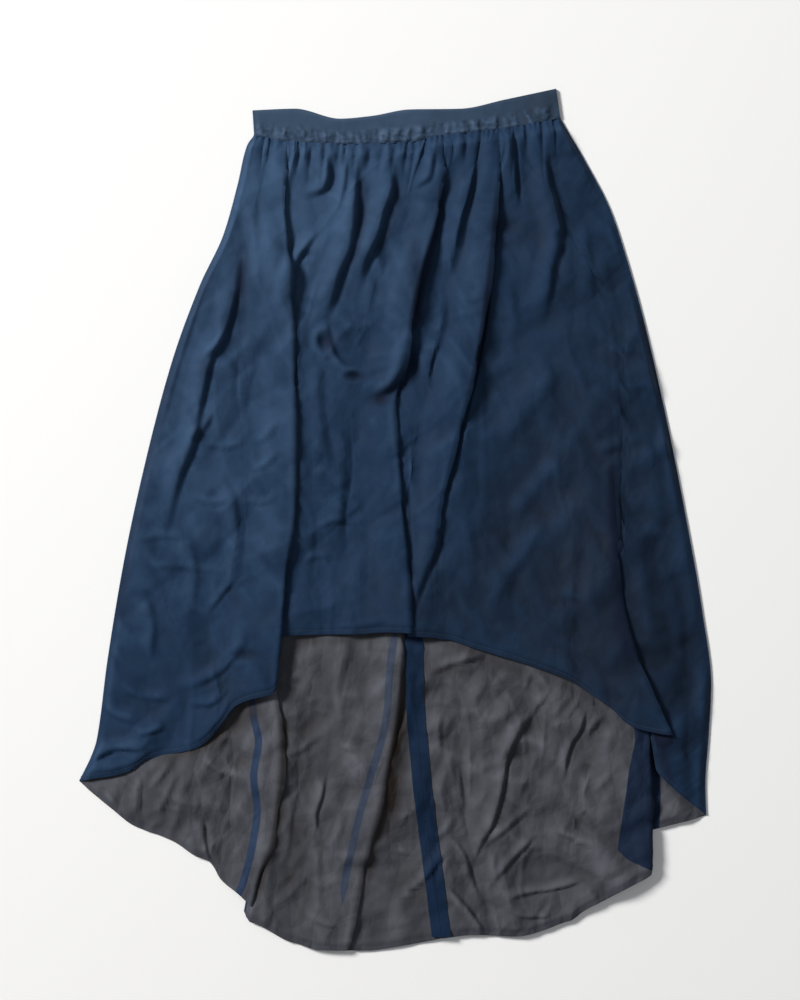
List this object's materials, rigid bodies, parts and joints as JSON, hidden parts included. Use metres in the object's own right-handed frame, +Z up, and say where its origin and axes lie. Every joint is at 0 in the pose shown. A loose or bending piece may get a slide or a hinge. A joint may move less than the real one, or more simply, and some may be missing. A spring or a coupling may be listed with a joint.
{
  "type": "skirt laid flat",
  "caption": "High-low skirt of thin navy cloth, gathered into a narrow waistband, laid flat with its short front over its long rounded back.",
  "frame": {"origin": "under the middle of the laid skirt, on the surface that it lies on", "axes": "+Y from the back hem towards the waist, +X to the right as seen from above, +Z up from the surface"},
  "size_m": [0.758, 1.0331, 0.0207],
  "materials": {
    "navy_cloth": "thin woven cloth, navy, soft dull sheen",
    "cloth_inside": "single layer of the thin cloth seen from inside, taupe grey",
    "doubled_cloth": "the thin cloth lying two or three layers deep, darker blue",
    "waistband_cloth": "doubled cloth of the waistband, pressed, lighter blue"
  },
  "bodies": {
    "root": {"front_panel": "navy_cloth", "back_panel_left": "cloth_inside", "back_panel_right": "cloth_inside", "seam_allowance_left": "doubled_cloth", "seam_allowance_right": "doubled_cloth", "waistband_front": "waistband_cloth", "waistband_back": "waistband_cloth"}
  },
  "joints": []
}
